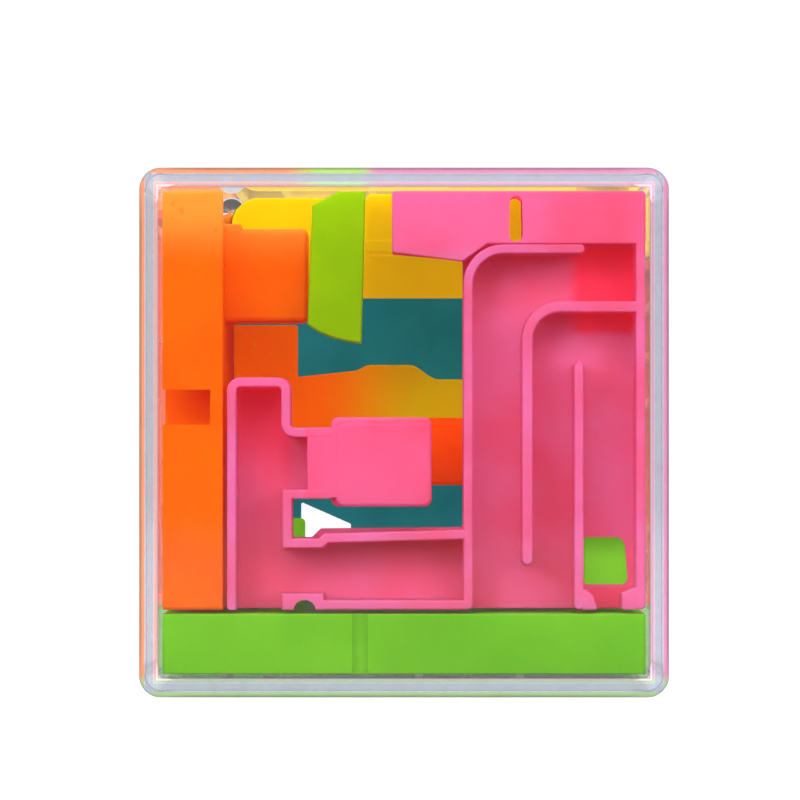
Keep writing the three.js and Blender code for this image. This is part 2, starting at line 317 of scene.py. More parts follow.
def fuse(adds, cuts=(), within=()):
    """One closed mesh: the shells in adds joined, trimmed to those in within, less those in cuts."""
    base = thing(adds[0])
    parts = []
    for operation, group in (("UNION", adds[1:]), ("INTERSECT", within), ("DIFFERENCE", cuts)):
        for mesh in group:
            part = thing(mesh)
            parts.append(part)
            step = base.modifiers.new(operation, "BOOLEAN")
            step.operation = operation
            step.solver = "MANIFOLD"
            step.object = part
    shown = base.evaluated_get(bpy.context.evaluated_depsgraph_get())
    joined = bpy.data.meshes.new_from_object(shown)
    for item in [base, *parts]:
        spare = item.data
        bpy.data.objects.remove(item)
        bpy.data.meshes.remove(spare)
    return joined


def turned(mesh, right, up, out, origin=(0, 0, 0)):
    """The mesh with u, v and w laid along three directions from an origin."""
    points = np.empty(len(mesh.vertices) * 3)
    mesh.vertices.foreach_get("co", points)
    laid = points.reshape(-1, 3) @ np.array([right, up, out], float) + np.array(origin)
    mesh.vertices.foreach_set("co", laid.ravel())
    mesh.update()
    return mesh


def placed(mesh, right, up, out, origin=(0, 0, 0)):
    """The mesh turned from the middle of the cube into the frame, in metres."""
    turned(mesh, right, up, out, np.array(origin) + MIDDLE)
    return turned(mesh, (MM, 0, 0), (0, MM, 0), (0, 0, MM))


def finished(name, mesh, material, node, body):
    """The piece that stands for a node: smooth where it turns gently and crisp at its edges."""
    mesh.materials.clear()
    mesh.materials.append(material)
    mesh.shade_smooth()
    mesh.set_sharp_from_angle(angle=math.radians(CRISP))
    piece = thing(mesh, name)
    piece.modifiers.new("flat_faces", "WEIGHTED_NORMAL").keep_sharp = True
    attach(piece, body)
    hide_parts(node)
    return piece


FACES = {
    "front": ((1, 0, 0), (0, 0, 1), (0, -1, 0)),
    "left": ((0, -1, 0), (0, 0, 1), (-1, 0, 0)),
    "right": ((0, 1, 0), (0, 0, 1), (1, 0, 0)),
    "back": ((-1, 0, 0), (0, 0, 1), (0, 1, 0)),
    "top": ((1, 0, 0), (0, 1, 0), (0, 0, 1)),
    "bottom": ((1, 0, 0), (0, -1, 0), (0, 0, -1)),
}


def on_face(mesh, side):
    """A plate's mesh laid on its side of the cube, its floor's inner face at the plates' depth."""
    right, up, out = FACES[side]
    return placed(mesh, right, up, out, np.array(out) * PLATE_IN)


# ---------------------------------------------------------------- the six plates

def front_plate():
    """The maze in front, with a roofed corner, a box round the ball's way in, and a window."""
    top = PLATE_OUT
    u0, u1, v0, v1 = -5.8, 2.2, -5.9, 1.2
    edge = [
        (-0.95, top), (top, top), (top, -NEXT), (-NEXT, -NEXT), (-NEXT, 4.4), (-9.0, 4.4), (-9.0, 0.4),
        (u0, 0.4), (u0, -5.3), (-8.9, -5.3), (-8.9, -8.4), (-7.4, -8.4), (-6.7, -7.7), (4.7, -7.6),
        (4.7, 13.8), (-0.95, 14.3),
    ]
    radii = [0.2, 0.3, 0.3, 0.3, 1.1, 1.0, 0.3, 0.2, 0.2, 0.3, 0.2, 0.3, 0.3, 0.2, 0.2, 0.2]
    outline = loop(edge, radii)
    floor = slab(outline, 0, FLOOR, 0.1)
    sides = tool(inset(anticlockwise(outline), 0.02))
    maze = fuse([
        wall([(-NEXT + 0.4, -NEXT), (-NEXT + 0.4, 4.0), (-9.4, 4.0), (-9.4, 0.0), (-5.0, 0.0)], 0.7),
        wall([(-5.0, -4.9), (-9.3, -4.9), (-9.3, -8.8), (-6.6, -8.8), (-6.2, -8.4), (4.9, -8.1)]),
        wall([(-7.9, -13.3), (-6.6, -SIDE), (5.1, -SIDE)]),
        moulded([(-9.7, -NEXT), (-6.4, -NEXT), (-6.4, -12.8), (-9.7, -12.8)], ROOT, PLATE),
        wall([(14.0, 14.6), (5.1, 14.6), (5.1, -SIDE)], 2.8),
        wall([(EDGE, 10.0), (9.8, 10.0), (9.8, -10.1)], WIDE_TURN, 0.9),
        wall([(13.9, 5.2), (13.9, -SIDE)]),
        wall([(-0.55, 14.7), (-0.55, EDGE), (EDGE, EDGE), (EDGE, -SIDE)]),
        moulded(loop([(14.1, -12.3), (15.0, -12.9), (15.4, -NEXT), (14.1, -NEXT)], 0.2), ROOT, PLATE),
        moulded(loop([(17.3, -12.8), (18.6, -12.2), (18.6, -NEXT), (17.3, -NEXT)], 0.2), ROOT, PLATE),
    ], (), [sides])
    roof = slab(loop([
        (-0.95, top), (top, top), (top, 15.0), (6.6, 15.0), (4.65, 13.6), (-0.95, 14.3),
    ], 0.3), PLATE - FLOOR, PLATE)
    adds = [
        floor, maze, roof,
        moulded(box_loop(-7.7, u0 + WALL, -5.2, 0.4, 0.2), ROOT, PLATE - 0.05, soft_high=0.1),
        moulded(box_loop(u0, u1, v0, v1, 0.6), -1.2, PLATE - 0.7, soft_high=0.2),
        moulded(box_loop(u0 + 0.35, u1 - 0.02, v0 + 0.02, v1 - 0.4, 0.7), 1.0, PLATE, soft_high=0.3),
    ]
    cuts = [
        moulded(box_loop(*shrunk(u0, u1, v0, v1, WALL), 0.3), -2, PLATE - FLOOR, soft_high=0.1),
        moulded(box_loop(-7.9, u0 + 2, -4.4, -0.4, 0.2), FLOOR, PLATE - FLOOR, soft_high=0.1),
        tool(pen([(8.9, 18.3), (8.9, 17.1)], 1.0)),
        tool(pen([(8.9, 17.0), (8.9, 15.7)], 1.06)),
        tool(loop([(14.4, -12.2), (18.0, -12.2), (17.7, -8.4), (14.4, -8.4)], [0.3, 0.5, 0.8, 0.3]),
             high=FLOOR + PAST),
        tool(pen([(-7.9, -15.2), (-7.9, -14.2)], 1.8)),
    ]
    return on_face(fuse(adds, cuts), "front")


def left_plate():
    """The maze on the left, with a deep cup inwards and the ball's shelf over it."""
    cup = (7.8, PLATE_IN - 0.2, 8.9, 16.4)
    deep = 6.6
    thick = 1.2
    maze = tray(-NEXT, PLATE_OUT, -NEXT, PLATE_OUT, [
        wall([(-SIDE, SHELF - 0.4), (EDGE, SHELF - 0.4)]),
        wall([(-10.0, -SIDE), (-10.0, 9.6)]),
        wall([(-SIDE, 13.4), (-6.2, 13.4), (-6.2, -9.6)], TURN),
        wall([(-2.4, 16.4), (-2.4, -6.0), (6.0, -6.0)], TURN),
        wall([(-6.2, -9.6), (9.8, -9.6), (9.8, 2.4)], TURN),
        wall([(1.6, 16.4), (1.6, -2.2), (6.0, -2.2)], TURN),
        wall([(5.8, 7.6), (14.4, 7.6), (14.4, -9.9)], TURN),
        wall([(6.2, 7.6), (6.2, 16.4)]),
    ])
    adds = [
        maze,
        moulded(box_loop(cup[0], cup[1], SHELF - WALL, SHELF, 0.15), -1.2, PLATE),
        moulded(box_loop(*cup, 0.5), -deep, FLOOR - 0.1, soft_low=0.35, soft_high=0),
    ]
    cuts = [
        tool(box_loop(*shrunk(*cup, thick), 0.3), -deep + thick, FLOOR + PAST),
        tool(box_loop(-SHELF_BACK, PLATE_OUT - WALL, SHELF, PLATE_OUT + PAST, 0.15), low=-2),
        gate(PLATE_OUT, 2.0),
        gate(-NEXT, -8.0),
        gate(3.6, -NEXT),
    ]
    return on_face(fuse(adds, cuts), "left")


def right_plate():
    """The maze on the right, with a long cup that reaches to the middle of the cube."""
    cup = (-8.8, -3.4, -4.3, 1.2)
    deep = 12.9
    thick = 0.9
    maze = tray(-NEXT, NEXT, -NEXT, NEXT, [
        wall([(-SIDE, 10.2), (6.0, 10.2), (6.0, 2.0)], TURN),
        wall([(10.0, SIDE), (10.0, -1.8), (2.0, -1.8)], TURN),
        wall([(-9.6, 6.2), (2.0, 6.2), (2.0, -5.6), (9.8, -5.6)], TURN),
        wall([(-9.8, 2.4), (-2.2, 2.4), (-2.2, -9.6), (SIDE, -9.6)], 2.0),
    ])
    corner = [(-9.2, -SIDE), (-9.2, -7.8), (-SIDE, -7.8)]
    adds = [
        maze,
        moulded(pen(corner, 0.7), 0.1, PLATE, foot=0),
        moulded(box_loop(*cup, 0.5), -deep, FLOOR - 0.1, soft_low=0.35, soft_high=0),
    ]
    cuts = [
        tool(box_loop(*shrunk(*cup, thick), 0.3), -deep + thick, FLOOR + PAST),
        tool([(-NEXT - PAST, -NEXT - PAST), (-9.5, -NEXT - PAST), (-9.5, -8.1), (-NEXT - PAST, -8.1)]),
        gate(NEXT, -5.6),
        gate(-4.0, NEXT),
    ]
    return on_face(fuse(adds, cuts), "right")


def back_plate():
    """The maze at the back, with a three-sided hole."""
    maze = tray(-PLATE_OUT, PLATE_OUT, -NEXT, PLATE_OUT, [
        wall([(-15.0, -SIDE), (-15.0, 14.8)]),
        wall([(-11.0, EDGE), (-11.0, -9.8), (-2.8, -9.8)], WIDE_TURN),
        wall([(-7.0, 14.6), (-7.0, -5.6), (2.6, -5.6)], WIDE_TURN),
        wall([(-3.0, EDGE), (-3.0, 2.4), (6.8, 2.4)], WIDE_TURN),
        wall([(1.2, 14.8), (15.0, 14.8), (15.0, -9.8)], WIDE_TURN),
        wall([(1.2, 10.8), (1.2, 6.6), (10.8, 6.6), (10.8, -4.6)], 2.0),
        wall([(1.2, -SIDE), (1.2, -9.6), (3.6, -9.6)], 0.8),
    ])
    cuts = [
        tool(loop([(8.9, -6.0), (4.6, -7.9), (4.6, -9.4), (8.9, -9.4)], 0.15)),
        gate(9.0, PLATE_OUT),
        gate(-PLATE_OUT, -6.0),
    ]
    return on_face(fuse([maze], cuts), "back")


def top_plate():
    """The maze on top, with an upright screen in front of it and the ball's shelf at its left."""
    end = -2.9
    apron = -3.4
    arc = 2.2
    swing = np.linspace(0, math.pi / 2, TURN_STEPS * 2)
    corner = np.column_stack([-NEXT + arc - arc * np.sin(swing), PLATE - arc + arc * np.cos(swing)])
    screen = np.concatenate([[(-NEXT, apron), (NEXT, apron), (NEXT, PLATE)], corner])
    screen_wall = slab(screen, -WALL, 0, 0.12)
    adds = [
        slab(loop([(-NEXT, SCREEN), (end, SCREEN), (end, -NEXT), (PLATE_OUT, -NEXT), (PLATE_OUT, NEXT),
                   (-NEXT, NEXT)], 0.2), 0, FLOOR, 0.1),
        turned(screen_wall, (1, 0, 0), (0, 0, 1), (0, -1, 0), (0, SCREEN, 0)),
        wall([(end + 0.4, SCREEN), (end + 0.4, -SIDE), (EDGE, -SIDE), (EDGE, SIDE), (-SIDE, SIDE),
              (-SIDE, SHELF_BACK + 0.2)]),
        moulded(box_loop(-NEXT, -8.6, SCREEN + 0.4, SHELF_BACK, 0.1), 0, SHELF - PLATE_IN),
        wall([(end + 0.4, -10.4), (3.4, -10.4)]),
        wall([(1.4, SCREEN + 0.4), (1.4, 9.6), (-9.8, 9.6)], TURN),
        wall([(-9.8, 5.6), (-2.6, 5.6), (-2.6, -3.0)], TURN),
        wall([(-9.8, SHELF_BACK + 0.2), (-9.8, 1.6), (-6.4, 1.6)], 1.6),
        wall([(5.4, SIDE), (5.4, -3.2), (14.8, -3.2)], TURN),
        wall([(9.4, 1.0), (14.8, 1.0), (14.8, 9.8)], TURN),
        wall([(9.6, SIDE), (9.6, 5.2)]),
    ]
    cuts = [
        gate(12.0, -NEXT),
        gate(-6.0, NEXT),
        tool(pen([(7.4, -10.4), (11.4, -10.4)], GATE), high=FLOOR + PAST),
    ]
    return on_face(fuse(adds, cuts), "top")


def bottom_plate():
    """The maze underneath, with a box behind the front plate's window and a peg further in."""
    step = (14.4, 18.4, 9.9, NEXT)
    deep = 6.0
    maze = tray(-PLATE_OUT, PLATE_OUT, -PLATE_OUT, PLATE_OUT, [
        wall([(-15.0, EDGE), (-15.0, -10.6)]),
        wall([(-11.2, -EDGE), (-11.2, 10.6), (-2.6, 10.6)], WIDE_TURN),
        wall([(-7.0, 6.6), (-7.0, -14.8), (2.8, -14.8)], WIDE_TURN),
        wall([(-11.2, 14.6), (9.4, 14.6), (9.4, 6.6)], WIDE_TURN),
        wall([(-3.0, 6.6), (-3.0, -10.8), (10.8, -10.8)], WIDE_TURN),
        wall([(1.2, 10.6), (1.2, -6.6), (10.8, -6.6)], WIDE_TURN),
        wall([(5.2, 6.8), (5.2, -2.6), (EDGE, -2.6)], TURN),
        wall([(15.0, -EDGE), (15.0, -6.6)]),
    ])
    adds = [
        maze,
        moulded(box_loop(*step, 0.3), -deep, FLOOR - 0.1, soft_low=0.3, soft_high=0),
        moulded(box_loop(-11.6, -8.3, -4.0, 0.0, 0.5), -7.2, FLOOR - 0.1, soft_low=0.4, soft_high=0),
    ]
    cuts = [
        tool(box_loop(*shrunk(*step, WALL), 0.2), -deep + WALL, FLOOR + PAST),
        tool(pen([(-3.5, PLATE_OUT + 0.45), (-3.5, PLATE_OUT + 0.4)], 1.5)),
        gate(-PLATE_OUT, 4.0),
    ]
    return on_face(fuse(adds, cuts), "bottom")


# ---------------------------------------------------------------- the pieces inside

UPRIGHT = FACES["front"]


def funnel():
    """A scoop with a closed front and a curved foot, open at the back."""
    deep = 3.9
    side = 0.9

    def outline(gap):
        share = np.linspace(0, 1, 14)[:, None]
        start = np.array([-3.4 - gap, 7.1 + gap * 1.4])
        pull = np.array([-6.2, 7.4 + gap])
        end = np.array([-7.7 + gap, 8.6 + gap])
        foot = (1 - share) ** 2 * start + 2 * share * (1 - share) * pull + share ** 2 * end
        head = [
            (-7.3 + gap, 18.1 - gap / 2),
            (-5.1 + gap / 2, PLATE_OUT - gap),
            (-3.1 - gap, PLATE_OUT - gap),
        ]
        return np.concatenate([foot, head])

    adds = [slab(outline(0), 0, deep, 0.22)]
    cuts = [moulded(outline(side), -PAST, deep - side, soft_high=0.2)]
    return placed(fuse(adds, cuts), *UPRIGHT, (0, -PLATE_IN - 0.3, 0))


def crossing_chute():
    """A trough across the middle of the cube, taller at its left end, with a hump."""
    width = 5.0
    share = np.linspace(0, 1, 10)
    ease = 0.5 - 0.5 * np.cos(math.pi * share)
    hump = np.column_stack([2.9 - 2.5 * share, 4.4 + 1.2 * ease])
    fall = np.column_stack([-2.8 - 1.4 * share, 5.6 - 0.5 * ease])
    foot = [(-NEXT, -1.2), (NEXT, -1.2), (NEXT, 4.4)]
    head = [(-8.9, 4.6), (-8.9, 8.9), (-NEXT, 8.9)]
    adds = [slab(np.concatenate([foot, hump, fall, head]), 0, width, 0.2)]
    cuts = [tool(box_loop(-NEXT + WALL, NEXT - WALL, -0.2, 10, 0.4), WALL, width - WALL)]
    return placed(fuse(adds, cuts), *UPRIGHT, (0, 2.2, 0))


def steel_ball():
    """A ball that fills its place in the frame."""
    low, high = (np.array(corner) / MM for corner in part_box("steel_ball"))
    centre = (low + high) / 2 - MIDDLE
    return placed(ring_grid((high - low)[2] / 2, centre), (1, 0, 0), (0, 1, 0), (0, 0, 1))


# ---------------------------------------------------------------- the case

def case_base():
    """A box with round edges, open at the front, its walls carried back to the closed end."""
    joint = -LID_BACK + LID_GAP
    inner = CUBE - CASE_WALL
    outer = box_loop(-CUBE, CUBE, -CUBE, CUBE, CASE_ROUND)
    body = moulded(outer, -CUBE, -joint, soft_low=BACK_ROUND, soft_high=JOINT_SOFT)
    room = tool(box_loop(-inner, inner, -inner, inner, INNER_ROUND), -inner, CUBE + PAST)
    return placed(fuse([body], [room]), *UPRIGHT)


def case_lid():
    """The clear front: a plate with a round outer edge."""
    outer = box_loop(-CUBE, CUBE, -CUBE, CUBE, CASE_ROUND)
    return placed(moulded(outer, LID_BACK, CUBE, soft_low=0.06, soft_high=LID_ROUND), *UPRIGHT)


# ---------------------------------------------------------------- materials

class Signal:
    """A value in a material. Arithmetic on it adds Math nodes."""

    def __init__(self, finish, socket):
        self.finish = finish
        self.socket = socket

    def _math(self, operation, *values):
        made = self.finish.node("ShaderNodeMath", {"operation": operation}, dict(enumerate(values)))
        return made("Value")

    def __add__(self, other):
        return self._math("ADD", self, other)

    def __sub__(self, other):
        return self._math("SUBTRACT", self, other)

    def __rsub__(self, other):
        return self._math("SUBTRACT", other, self)

    def __mul__(self, other):
        return self._math("MULTIPLY", self, other)

    def least(self, other):
        return self._math("MINIMUM", self, other)

    def most(self, other):
        return self._math("MAXIMUM", self, other)

    def size(self):
        return self._math("ABSOLUTE", self)

    __radd__ = __add__


class Finish:
    """A material under construction."""

    def __init__(self, name):
        self.material = bpy.data.materials.new(name)
        self.material.use_nodes = True
        self.tree = self.material.node_tree
        self.tree.nodes.clear()
        self.place = self.node("ShaderNodeTexCoord")("Object")

    def node(self, kind, settings=None, inputs=None):
        """A node with its settings, then its sockets' values or links. Calling it gives an output."""
        made = self.tree.nodes.new(kind)
        for key, value in (settings or {}).items():
            setattr(made, key, value)
        for key, value in (inputs or {}).items():
            if isinstance(value, Signal):
                self.tree.links.new(value.socket, made.inputs[key])
            else:
                made.inputs[key].default_value = value
        return lambda output: Signal(self, made.outputs[output])

    def noise(self, scale, detail=2.0, roughness=0.5):
        """Smooth noise, its features about one over the scale, in metres."""
        values = {"Vector": self.place, "Scale": scale, "Detail": detail, "Roughness": roughness}
        return self.node("ShaderNodeTexNoise", {}, values)("Fac")

    def from_middle(self):
        """The three distances from the middle of the cube, in millimetres."""
        middle = tuple(MIDDLE * MM)
        values = {0: self.place, 1: middle}
        moved = self.node("ShaderNodeVectorMath", {"operation": "SUBTRACT"}, values)("Vector")
        values = {0: moved, "Scale": 1 / MM}
        sized = self.node("ShaderNodeVectorMath", {"operation": "SCALE"}, values)("Vector")
        split = self.node("ShaderNodeSeparateXYZ", {}, {0: sized})
        return split("X"), split("Y"), split("Z")

    def fade(self, value, low, high):
        """The value spread from 0 at low to 1 at high, smoothly, and held past them."""
        values = {"Value": value, "From Min": low, "From Max": high}
        return self.node("ShaderNodeMapRange", {"interpolation_type": "SMOOTHSTEP"}, values)("Result")

    def blend(self, share, first, second):
        """One colour turning into another."""
        factor, colour_a, colour_b, colour_result = 0, 6, 7, 2
        values = {factor: share, colour_a: first, colour_b: second}
        return self.node("ShaderNodeMix", {"data_type": "RGBA"}, values)(colour_result)

    def bump(self, height, strength, distance):
        """A normal tilted by the height, which spans the distance in metres."""
        values = {"Height": height, "Strength": strength, "Distance": distance}
        return self.node("ShaderNodeBump", {}, values)("Normal")

    def mixed(self, share, first, second):
        """Two shaders mixed."""
        return self.node("ShaderNodeMixShader", {}, {0: share, 1: first, 2: second})("Shader")

    def show(self, shader):
        """The finished material, with the shader on its surface."""
        self.node("ShaderNodeOutputMaterial", {}, {"Surface": shader})
        return self.material


def colour(r, g, b):
    """A solid colour from its linear red, green and blue."""
    return (r, g, b, 1.0)


BLACK = colour(0, 0, 0)
WHITE = colour(1, 1, 1)
CASE_TINT = colour(0.955, 0.97, 0.985)
CASE_SHADE = colour(0.96, 0.97, 0.98)
# Painted light on the clear case's edges: a grey band, a white line and the plates' colours.
PAINTED_EDGE_GREY = colour(0.46, 0.48, 0.53)
PAINTED_EDGE_WHITE = colour(0.9, 0.84, 0.84)
PAINTED_EDGE_ORANGE = colour(1.0, 0.22, 0.06)
PAINTED_EDGE_LIME = colour(0.42, 0.75, 0.06)
PAINTED_EDGE_PINK = colour(0.8, 0.17, 0.33)
PAINTED_EDGE_GREEN = colour(0.3, 0.5, 0.14)
PAINTED_EDGE_TEAL = colour(0.2, 0.5, 0.55)

# How far in from the case's edges the painted bright lip ends, and then the painted grey band.
LIP_END = 0.42
BAND_END = 1.1


def between(finish, value, low, high, soft=0.4):
    """One from low to high, and a smooth fall to nothing outside them."""
    return finish.fade(value, low - soft, low) * (1 - finish.fade(value, high, high + soft))


def painted_red_through(finish):
    """Where painted red light stands for orange and red pieces showing through: behind two floors, the
    thin sheets and the gate.
    """
    x, y, z = finish.from_middle()
    floors = 1 - finish.fade(y * -1, 15.8, 16.4)
    right = between(finish, x, 14.6, 18.4, 2.0) * between(finish, z, 8.4, 14.4, 0.8)
    left = (1 - finish.fade(x, -9.6, -8.6)) * finish.fade(z, -8.0, 3.0) * 0.8
    gate_floor = between(finish, x, 15.0, 17.6) * (1 - finish.fade(z, -12.6, -12.3)) * 0.4
    roof = finish.fade(z, 13.8, 15.0) * 0.25
    cup = between(finish, x, -7.7, 2.0) * between(finish, z, -5.6, 0.8) * 0.4
    low = (1 - finish.fade(z, -12.0, -4.0)) * 0.3
    return (floors * (right + left + gate_floor + low + 0.1) + (1 - floors) * (roof + cup)).least(1.0)


def in_core(finish):
    """Inside the plates: the dark core, where a glow is painted for light carried by the plastic."""
    x, y, z = (axis.size() for axis in finish.from_middle())
    return 1 - finish.fade(x.most(y).most(z), NEXT + 0.4, NEXT + 1.4)


def under_core(finish):
    """Everything that stands on the inner face of the bottom plate, where the green's glow is painted.
    """
    _, _, z = finish.from_middle()
    return finish.fade(z, -NEXT - 0.3, -NEXT + 0.7)


def core_and_screen(finish):
    """The core, and the upright wall at the front of the top plate: where the yellow's glow is painted.
    """
    _, y, _ = finish.from_middle()
    return in_core(finish).most(1 - finish.fade(y, SCREEN + 0.1, SCREEN + 0.3))


def painted_orange_shade(finish):
    """The end of a piece towards the orange plate, painted as shade tinted by the orange plate's light.
    """
    x, _, _ = finish.from_middle()
    return 1 - finish.fade(x, -7.5, 2.0)


def painted_top_light(finish):
    """The top of a piece, where a lighter colour is painted for the light that comes through."""
    _, _, z = finish.from_middle()
    return finish.fade(z, 13.0, 18.0) * 0.7


def moulded_plastic(name, skin, deep, glow, painted_glow_share=0.0, painted_glow_part=None, painted_light=None,
                    painted_light_share=None):
    """Glossy see-through moulding: flow marks, a fine tooled grain, and light that soaks through.

    The painted glow share is how much of its colour it gives off as a painted glow in the dark core
    of the cube, or in the part named, for light that the plastic carries there. A second colour is
    painted in by its share, for light and shade that fall there.
    """
    finish = Finish(name)
    flow = finish.noise(130, 3.0)
    grain = finish.noise(5200, 2.0)
    sink = finish.noise(420, 1.0)
    specks = finish.fade(finish.noise(1500, 1.0), 0.70, 0.74)
    tint = finish.blend(finish.fade(flow, 0.3, 0.72), skin, deep)
    # The second colour, painted light and shade, laid over the tint by its share.
    if painted_light:
        tint = finish.blend(painted_light_share(finish), tint, painted_light)
    base = finish.blend(specks * 0.35, tint, deep)
    normal = finish.bump(grain * 0.4 + sink, 0.22, 0.00006)
    # The painted glow: the base colour given off as emission where the glow part says.
    lit = (painted_glow_part or in_core)(finish) * painted_glow_share
    principled = finish.node("ShaderNodeBsdfPrincipled", {"subsurface_method": "RANDOM_WALK"}, {
        "Base Color": base,
        "Roughness": flow * 0.12 + grain * 0.06 + 0.3,
        "Normal": normal,
        "IOR": 1.49,
        "Specular IOR Level": 0.2,
        "Subsurface Weight": 0.45,
        "Subsurface Radius": glow,
        "Subsurface Scale": 0.0016,
        "Emission Color": finish.blend(lit, BLACK, base),
        "Emission Strength": 1.0,
    })("BSDF")
    values = {"Color": base, "Normal": normal}
    through = finish.node("ShaderNodeBsdfTranslucent", {}, values)("BSDF")
    return finish.show(finish.mixed(0.5, principled, through))


def clear_plastic(name):
    """Clear polished case plastic. Light from the plates beside its edges is painted on them.

    How far a point is from an edge is the cube's half less the second largest of its three distances
    from the middle, which is the distance from the nearest edge of the face it is on.
    """
    finish = Finish(name)
    waves = finish.noise(60, 1.0)
    streaks = finish.noise(900, 2.0, 0.7)
    scuffs = finish.fade(finish.noise(2600, 3.0, 0.7), 0.62, 0.8)
    x, y, z = finish.from_middle()
    far = [axis.size() for axis in (x, y, z)]
    largest = far[0].most(far[1]).most(far[2])
    smallest = far[0].least(far[1]).least(far[2])
    inside = CUBE - (far[0] + far[1] + far[2] - largest - smallest)
    wavy = inside + (streaks - 0.5) * 0.12
    # Bands in from each edge, where light is painted: the lip, the grey band and the seam.
    past_lip = finish.fade(wavy, LIP_END, LIP_END + 0.1)
    past_band = finish.fade(wavy, BAND_END, BAND_END + 0.1)
    past_wall = finish.fade(wavy, CASE_WALL, CASE_WALL + 0.2)
    lip = 1 - past_lip
    band = past_lip * (1 - past_band)
    seam = past_band * (1 - past_wall)
    # A thin white highlight line painted near the inner face of the wall.
    line = between(finish, inside, 1.38, 1.46, 0.04)
    # Where more painted grey glow goes: the side faces and the base's open rim.
    side_face = 1 - finish.fade(far[1], LID_BACK + 0.5, LID_BACK + 0.7)
    in_wall = finish.fade(far[0].most(far[2]), CUBE - CASE_WALL - 0.1, CUBE - CASE_WALL)
    open_rim = in_wall * between(finish, y, -LID_BACK - 0.2, -LID_BACK + 0.3)
    # The plates' colours painted along the edges beside them.
    across = finish.blend(finish.fade(x, -9.5, -6.5), PAINTED_EDGE_ORANGE, PAINTED_EDGE_LIME)
    across = finish.blend(finish.fade(x, -3.8, -2.0), across, PAINTED_EDGE_PINK)
    beside = finish.blend(finish.fade(z, 19.0, 20.0), PAINTED_EDGE_PINK, across)
    beside = finish.blend(finish.fade(x * -1, 19.0, 20.0), beside, PAINTED_EDGE_ORANGE)
    beside = finish.blend(finish.fade(z * -1, 19.0, 20.0), beside, PAINTED_EDGE_GREEN)
    beside = finish.blend(finish.fade(y, 17.0, 20.5) * 0.6, beside, PAINTED_EDGE_TEAL)
    # The base colour, with the painted lip, grey band and seam.
    tint = finish.blend(lip, CASE_TINT, beside)
    tint = finish.blend(band * (0.75 + streaks * 0.5), tint, PAINTED_EDGE_GREY)
    tint = finish.blend(seam * 0.45, tint, beside)
    # The painted glow along the edges, given off as emission.
    piped = finish.blend(lip * 0.3, BLACK, beside)
    piped = finish.blend(band * streaks * 0.14, piped, PAINTED_EDGE_GREY)
    piped = finish.blend(band * side_face * 0.3, piped, PAINTED_EDGE_GREY)
    piped = finish.blend(open_rim * 0.12, piped, PAINTED_EDGE_GREY)
    piped = finish.blend(line * 0.16, piped, PAINTED_EDGE_WHITE)
    glass = finish.node("ShaderNodeBsdfPrincipled", {}, {
        "Base Color": tint,
        "Roughness": scuffs * 0.05 + lip * 0.3 + 0.01,
        "Normal": finish.bump(waves + scuffs * 0.02, 0.05, 0.0001),
        "IOR": 1.3,
        "Transmission Weight": 1.0,
        "Emission Color": piped,
        "Emission Strength": 1.0,
    })("BSDF")
    shade = finish.node("ShaderNodeBsdfTransparent", {}, {"Color": CASE_SHADE})("BSDF")
    is_shadow = finish.node("ShaderNodeLightPath")("Is Shadow Ray")
    return finish.show(finish.mixed(is_shadow, glass, shade))


def polished_steel(name):
    """Ground and polished ball steel with faint rolling marks."""
    finish = Finish(name)
    marks = finish.fade(finish.noise(3800, 4.0, 0.7), 0.45, 0.8)
    tone = finish.blend(marks * 0.3, colour(0.76, 0.77, 0.79), colour(0.55, 0.56, 0.58))
    return finish.show(finish.node("ShaderNodeBsdfPrincipled", {}, {
        "Base Color": tone,
        "Metallic": 1.0,
        "Roughness": marks * 0.1 + 0.06,
        "Normal": finish.bump(marks, 0.05, 0.00002),
    })("BSDF"))


def pale_surface(name):
    """The matt pale floor, white round the cube and greyer a long way in front of it."""
    finish = Finish(name)
    _, y, _ = finish.from_middle()
    lit = finish.blend(finish.fade(y, -900, -250), colour(0.2, 0.2, 0.2), WHITE)
    tone = finish.blend(finish.noise(9, 2.0), colour(0.12, 0.12, 0.12), colour(0.15, 0.15, 0.15))
    return finish.show(finish.node("ShaderNodeBsdfPrincipled", {}, {
        "Base Color": tone,
        "Roughness": 0.9,
        "Emission Color": lit,
        "Emission Strength": 0.95,
    })("BSDF"))


# Pink: a redder colour and a glow painted where orange and red pieces show through it.
PINK = moulded_plastic(
    "pink_plastic", colour(0.85, 0.21, 0.47), colour(0.84, 0.14, 0.28), (1.0, 0.25, 0.35),
    painted_glow_share=0.15, painted_glow_part=painted_red_through, painted_light=colour(0.93, 0.055, 0.13), painted_light_share=painted_red_through)
# Orange: a lighter orange painted at its top for the light falling there.
ORANGE = moulded_plastic(
    "orange_plastic", colour(0.95, 0.19, 0.0), colour(0.92, 0.15, 0.0), (1.0, 0.4, 0.1),
    painted_light=colour(1.0, 0.46, 0.07), painted_light_share=painted_top_light)
# Orange-red: a painted glow in the core, standing in for light carried by the plastic.
RED = moulded_plastic(
    "orange_red_plastic", colour(0.86, 0.11, 0.002), colour(0.78, 0.08, 0.001), (1.0, 0.2, 0.1),
    painted_glow_share=0.45)
# Teal: a painted glow in the core, standing in for light carried by the plastic.
TEAL = moulded_plastic(
    "teal_plastic", colour(0.02, 0.33, 0.38), colour(0.01, 0.25, 0.3), (0.3, 0.8, 1.0),
    painted_glow_share=0.66)
# Yellow: a painted glow in the core and on the screen, for light carried by the plastic.
YELLOW = moulded_plastic(
    "yellow_plastic", colour(0.66, 0.47, 0.0), colour(0.62, 0.42, 0.0), (1.0, 0.8, 0.1),
    painted_glow_share=0.9, painted_glow_part=core_and_screen)
